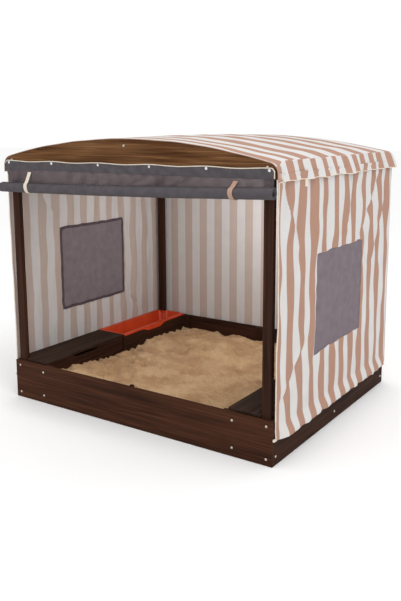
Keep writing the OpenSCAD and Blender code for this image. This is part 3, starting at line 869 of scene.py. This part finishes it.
# %% Header band
header_low, header_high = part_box("curtain_header")
HEADER_Y = header_low[1] + 0.001
stud_low, stud_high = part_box("header_studs")
STUDS = 6
first_stud = stud_low[0] + 0.006
stud_gap = (stud_high[0] - stud_low[0] - 0.012) / (STUDS - 1)


def stud_share(x):
    """1 at a stud, 0 halfway between two."""
    turn = (x - first_stud) / stud_gap
    return 0.5 + 0.5 * math.cos(2 * math.pi * turn)


def header_top(x):
    """The band's upper edge, which sags between the studs and is rounded off at the ends."""
    end = min(header_high[0] - x, x - header_low[0])
    rounding = 0.010 * (1 - math.sqrt(max(0, 1 - (1 - min(1, end / 0.014)) ** 2)))
    return header_high[2] - 0.004 * (1 - stud_share(x)) - rounding


def header_place(x, share):
    """The band's point at a share of its height."""
    z = header_low[2] + (header_top(x) - header_low[2]) * share
    wrinkle = 0.0030 * ripple(x / 0.035 + share * 1.1, share * 0.9, 71) * (1 - 0.6 * stud_share(x))
    return (x, HEADER_Y - 0.001 - max(wrinkle, -0.0015), z)


header = sheet("header_band", (grey_canvas,), spread(header_low[0], header_high[0], 0.006), spread(0, 1, 0.12),
               header_place, lambda x, share: (x, share * 0.037))
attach(header, "frame")
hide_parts("curtain_header")
header_line = [header_place(x, 1) for x in spread(header_low[0], header_high[0], 0.008)]
end_drop = [(header_high[0], header_line[-1][1], header_line[-1][2] - d) for d in (0.008, 0.016, 0.024)]
header_piping = cord_piece("header_piping", header_line + end_drop, 0.0019, cream_tape)
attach(header_piping, "frame")

# %% Roll
roll_low, roll_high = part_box("curtain_roll")
ROLL_TILT = math.tan(math.radians(1.3))
ROLL_R = 0.0203
CORE_R = 0.006
roll_y = (roll_low[1] + roll_high[1]) / 2
roll_mid = (roll_low[2] + roll_high[2]) / 2
TURNS = 3.25
roll_cut = math.pi * TURNS * (ROLL_R + CORE_R)


def roll_place(x, share):
    """A point of the wound strip: share runs from the core to the outer edge."""
    radius = CORE_R + (ROLL_R - CORE_R) * math.sqrt(share)
    radius *= 1 + 0.035 * ripple(x / 0.16, share, 81) * share
    angle = math.pi * 0.45 - TURNS * 2 * math.pi * (1 - share)
    sag = -0.004 * math.cos(math.pi * x / 1.1)
    z = roll_mid + x * ROLL_TILT + sag
    return (x, roll_y + radius * math.cos(angle), z + radius * math.sin(angle))


roll = sheet("curtain_roll_cloth", (grey_canvas,), spread(roll_low[0] + 0.001, roll_high[0] - 0.001, 0.016),
             spread(0, 1, 0.012), roll_place, lambda x, share: (x, share * roll_cut), thick=0.0018)
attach(roll, "curtain")
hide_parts("curtain_roll")
wound = [roll_place(0, share) for share in spread(0, 1, 0.012)]
wound_length = sum(math.dist(a, b) for a, b in zip(wound, wound[1:]))
print("roll's cut length:", round(wound_length, 3))

# %% Mesh curtain
def mesh_place(share, drop_share):
    """The mesh from the header's lower edge to the roll's back."""
    left = header_low[0] + 0.002 + 0.045 * drop_share ** 1.5
    x = left + (header_high[0] - 0.002 - left) * share
    top = header_low[2] + 0.004
    foot = roll_mid + x * ROLL_TILT - 0.002
    z = top + (foot - top) * drop_share
    loose = math.sin(math.pi * drop_share)
    puff = 0.0055 * loose * ripple(x / 0.05 - z / 0.035, z / 0.2, 91)
    return (x, HEADER_Y + 0.0005 - puff, z)


netting = sheet("mesh_curtain", (fly_mesh,), spread(0, 1, 0.006), spread(0, 1, 0.1)[::-1], mesh_place,
                lambda a, b: (a * 1.27, b * 0.06), thick=0.0006)
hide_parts("curtain_mesh")
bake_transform(netting)

# %% Edge tape of the mesh
edge_from = 1 - 0.013 / 1.27
edge_tape = sheet("mesh_edge_tape", (grey_canvas,), spread(edge_from, 1, 0.005), spread(0, 1, 0.1)[::-1],
                  lambda a, b: (mesh_place(a, b)[0], mesh_place(a, b)[1] - 0.0012, mesh_place(a, b)[2]),
                  lambda a, b: (a * 1.27, b * 0.06), thick=0.0014)
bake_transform(edge_tape)

# %% [markdown]
# ## Tie straps
#
# A tie strap is a flat cotton tape that goes round the rolled curtain and holds it up. It is made as a
# narrow sheet along a line that starts just under the header, goes down the front of the roll, under it
# and up behind it, with a slight swing because a hand tied it. Both straps belong to the frame, so they
# stay where they are when the curtain comes down.


# %% Straps
WRAP = (100, 338)
WRAP_STEPS = 14
STRAP_GAP = 0.0014


def strap_piece(name, node, material, lean, aside):
    """A flat tie strap from just under the header and round the roll. It ends before a full turn."""
    low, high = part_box(node)
    middle = (low[0] + high[0]) / 2
    centre = roll_mid + middle * ROLL_TILT - 0.004 * math.cos(math.pi * middle / 1.1)
    r = ROLL_R + STRAP_GAP
    line = [(header_low[1] - 0.0022, header_low[2] - 0.009)]
    for i in range(WRAP_STEPS + 1):
        angle = math.radians(WRAP[0] + (WRAP[1] - WRAP[0]) * i / WRAP_STEPS)
        line.append((roll_y + r * math.cos(angle), centre + r * math.sin(angle)))

    def place(across, along):
        at = along * (len(line) - 1)
        i = min(int(at), len(line) - 2)
        t = at - i
        y = line[i][0] + (line[i + 1][0] - line[i][0]) * t
        z = line[i][1] + (line[i + 1][1] - line[i][1]) * t
        swing = lean * math.sin(math.pi * 1.5 * along) + aside * rise(along, 0, 0.5)
        return (middle + swing + (across - 0.5) * (high[0] - low[0]), y, z)

    piece = sheet(name, (material,), spread(0, 1, 0.25), spread(0, 1, 0.02), place,
                  lambda a, b: (a * 0.018, b * 0.15))
    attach(piece, "frame")
    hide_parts(node)
    middles = [place(0.5, share) for share in spread(0, 1, 0.02)]
    cut = sum(math.dist(a, b) for a, b in zip(middles, middles[1:]))
    print(name, "cut length:", round(cut, 3))


strap_piece("left_tie_strap", "left_strap", cream_tape, 0.0015, 0.012)
strap_piece("right_tie_strap", "right_strap", tan_tape, -0.004, 0.003)

# %% [markdown]
# ## Tabs and ties
#
# The wall's tabs and the corner ties are short ends of the same cream tape. The design already has
# their shape, and they are too small to need folds, so they only get the tape's material.

# %% Tabs and ties
for name in ("wall_tabs", "corner_ties"):
    finish_node(name, cream_tape)

# %% [markdown]
# ## Sand
#
# Play sand is dry, pale brown quartz. It lies in low mounds with dimples left by hands, and a little
# is banked up at the front left. The surface is a fine grid whose points are lifted by noise at three
# sizes, and the bump gives the grains, drawn at 5 mm because real ones are too fine to show.

# %% Sand heap
sand_low, sand_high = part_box("sand")


def sand_height(x, y):
    """Height of the sand at a place."""
    bank = 0.024 * (1 - rise(x, -0.47, -0.1)) * (1 - rise(y, -0.52, -0.1))
    mounds = 0.012 * ripple(x / 0.21, y / 0.16, 101)
    ridges = 0.019 * (0.4 - abs(ripple(x / 0.085 + y / 0.13, y / 0.055, 102)))
    small = 0.0034 * ripple(x / 0.024, y / 0.020, 103) + 0.0012 * ripple(x / 0.011, y / 0.009, 104)
    return sand_high[2] - 0.006 + bank + mounds + ridges + small


xs = spread(sand_low[0], sand_high[0], 0.006)
ys = spread(sand_low[1], sand_high[1], 0.006)
deselect()
bpy.ops.mesh.primitive_grid_add(x_subdivisions=len(xs) - 1, y_subdivisions=len(ys) - 1, size=1)
sand = bpy.context.object
sand.name = "sand_heap"
for vertex in sand.data.vertices:
    x = sand_low[0] + (vertex.co.x + 0.5) * (sand_high[0] - sand_low[0])
    y = sand_low[1] + (vertex.co.y + 0.5) * (sand_high[1] - sand_low[1])
    vertex.co = (x, y, sand_height(x, y))
bpy.ops.object.mode_set(mode="EDIT")
bpy.ops.mesh.select_all(action="SELECT")
bpy.ops.mesh.extrude_region_move(TRANSFORM_OT_translate={"value": (0, 0, -0.05)})
bpy.ops.transform.resize(value=(1, 1, 0), center_override=(0, 0, sand_low[2]))
bpy.ops.mesh.select_all(action="SELECT")
bpy.ops.mesh.normals_make_consistent(inside=False)
bpy.ops.object.mode_set(mode="OBJECT")
bpy.ops.object.shade_smooth_by_angle(angle=math.radians(50))


def play_sand(name):
    """Dry quartz sand: pale brown, with darker damp grains and no gloss."""
    material, shader = new_material(name, Roughness=0.95, IOR=1.54)
    place = add(material, "ShaderNodeTexCoord")
    grains = add(material, "ShaderNodeTexNoise", values={"Scale": 1 / 0.005, "Detail": 5},
                 links={"Vector": place.outputs["Object"]})
    patches = add(material, "ShaderNodeTexNoise", values={"Scale": 1 / 0.12, "Detail": 5},
                  links={"Vector": place.outputs["Object"]})
    both = add(material, "ShaderNodeMath", {"operation": "MULTIPLY_ADD"}, {1: 0.7},
               {0: grains.outputs["Fac"], 2: patches.outputs["Fac"]})
    tint = add(material, "ShaderNodeValToRGB", links={"Fac": both.outputs["Value"]},
               stops=[(0.5, "#9c7653"), (1.0, "#c8a77f"), (0.78, "#b38e68")])
    plug(material, tint.outputs["Color"], shader, "Base Color")
    bump = add(material, "ShaderNodeBump", values={"Strength": 0.45, "Distance": 0.003},
               links={"Height": grains.outputs["Fac"]})
    plug(material, bump.outputs["Normal"], shader, "Normal")
    return material


sand.data.materials.append(play_sand("dry_play_sand"))
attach(sand, "frame")
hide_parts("sand")
finish_node("ground_liner", woven("black_ground_sheet", ("#1b1b1d", "#2b2b2e"), 0.004))


# %% [markdown]
# ## Bin
#
# The bin is injection-moulded polypropylene: a bright orange with a soft gloss and no sharp edge. Its
# plan has a step that leaves room for the back post, and its inner rim has a finger grip. Ten rings of
# points are joined from the rim's outer edge, over the rim and down to the floor, because one outline
# then gives the step and the round corners at every height. Solidify gives the wall its thickness.

# %% Bin
def moulded_plastic(name, dark, light):
    """Injection-moulded polypropylene with a fine, slightly uneven gloss."""
    material, shader = new_material(name, IOR=1.49)
    place = add(material, "ShaderNodeTexCoord")
    cloud = add(material, "ShaderNodeTexNoise", values={"Scale": 1 / 0.08, "Detail": 3},
                links={"Vector": place.outputs["Object"]})
    tint = add(material, "ShaderNodeValToRGB", links={"Fac": cloud.outputs["Fac"]},
               stops=[(0.3, dark), (0.7, light)])
    plug(material, tint.outputs["Color"], shader, "Base Color")
    fine = add(material, "ShaderNodeTexNoise", values={"Scale": 1 / 0.0015, "Detail": 2},
               links={"Vector": place.outputs["Object"]})
    gloss = add(material, "ShaderNodeMapRange", values={"To Min": 0.3, "To Max": 0.45},
                links={"Value": fine.outputs["Fac"]})
    plug(material, gloss.outputs["Result"], shader, "Roughness")
    bump = add(material, "ShaderNodeBump", values={"Strength": 0.08, "Distance": 0.0002},
               links={"Height": fine.outputs["Fac"]})
    plug(material, bump.outputs["Normal"], shader, "Normal")
    return material


bin_low, bin_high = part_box("storage_bin")
post_low, post_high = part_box("back_left_post")
inner_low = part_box("left_inner_board")[0]
side_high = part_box("left_board")[1]
NOTCH = (post_high[0] + 0.003, post_low[1] - 0.003)
BEND_STEPS = 4
SIDE_STEPS = 14


def bin_outline(left, right, front, rear, pull, height, bend):
    """A ring of points round the bin: six round corners, with a step in the plan for the back post."""
    left, right, front, rear = left + pull, right - pull, front + pull, rear - pull
    step = (NOTCH[0] + pull, NOTCH[1] - pull)
    corners = [(left, front, 1), (right, front, 1), (right, rear, 1), (step[0], rear, 1),
               (step[0], step[1], -1), (left, step[1], 1)]
    headings = [-90, 0, 90, 180, 90, 180]
    ring = []
    for (x, y, way), heading in zip(corners, headings):
        ring.append((x, y, way, math.radians(heading)))
    points = []
    for i, (x, y, way, heading) in enumerate(ring):
        before = Vector(ring[i - 1][:2]) - Vector((x, y))
        after = Vector(ring[(i + 1) % 6][:2]) - Vector((x, y))
        start = Vector((x, y)) + before.normalized() * bend
        end = Vector((x, y)) + after.normalized() * bend
        corner = Vector((x, y))
        for k in range(BEND_STEPS + 1):
            t = k / BEND_STEPS
            points.append(start * (1 - t) ** 2 + corner * 2 * t * (1 - t) + end * t ** 2)
        following = Vector(ring[(i + 1) % 6][:2]) - after.normalized() * bend
        for k in range(1, SIDE_STEPS):
            points.append(end + (following - end) * k / SIDE_STEPS)
    return [(*point, height) for point in points]


def grip_share(y):
    """1 over the finger grip in the middle of the inner rim."""
    middle = (bin_low[1] + bin_high[1]) / 2 - 0.01
    return rise(y, middle - 0.085, middle - 0.055) * (1 - rise(y, middle + 0.055, middle + 0.085))


rim = (bin_low[0], bin_high[0], bin_low[1], bin_high[1])
tub = (side_high[0] + 0.006, inner_low[0] - 0.006, bin_low[1] + 0.009, bin_high[1] - 0.008)
deep = bin_low[2] + 0.0025
rings = [bin_outline(*rim, 0, side_high[2] + 0.001, 0.008), bin_outline(*rim, 0, bin_high[2] - 0.002, 0.008),
         bin_outline(*rim, 0.0006, bin_high[2] - 0.0006, 0.008), bin_outline(*rim, 0.002, bin_high[2], 0.008),
         bin_outline(*tub, -0.002, bin_high[2], 0.012), bin_outline(*tub, -0.0006, bin_high[2] - 0.0006, 0.012),
         bin_outline(*tub, 0, bin_high[2] - 0.002, 0.012), bin_outline(*tub, 0.012, deep + 0.010, 0.014),
         bin_outline(*tub, 0.015, deep + 0.003, 0.014), bin_outline(*tub, 0.022, deep, 0.014)]
for number, ring in enumerate(rings[:4]):
    for i, (x, y, z) in enumerate(ring):
        if x > bin_high[0] - 0.004:
            ring[i] = (x + 0.0032 * grip_share(y), y, z - (0.013 * grip_share(y) if number == 0 else 0))
count = len(rings[0])
mesh = bmesh.new()
made = [[mesh.verts.new(point) for point in ring] for ring in rings]
for lower, upper in zip(made, made[1:]):
    for i in range(count):
        mesh.faces.new((lower[i], lower[(i + 1) % count], upper[(i + 1) % count], upper[i]))
mesh.faces.new(made[-1])
bin_mesh = bpy.data.meshes.new("orange_bin")
mesh.to_mesh(bin_mesh)
mesh.free()
bin_piece = bpy.data.objects.new("orange_bin", bin_mesh)
bpy.context.collection.objects.link(bin_piece)
select_only(bin_piece)
walls_of_bin = bin_piece.modifiers.new("wall", "SOLIDIFY")
walls_of_bin.thickness = 0.0022
walls_of_bin.offset = -1
bpy.ops.object.modifier_apply(modifier=walls_of_bin.name)
bpy.ops.object.shade_smooth_by_angle(angle=math.radians(40))
bin_piece.data.materials.append(moulded_plastic("orange_polypropylene", "#b93511", "#cf451a"))
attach(bin_piece, "bin")
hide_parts("storage_bin")
print("bin faces:", len(bin_piece.data.polygons))
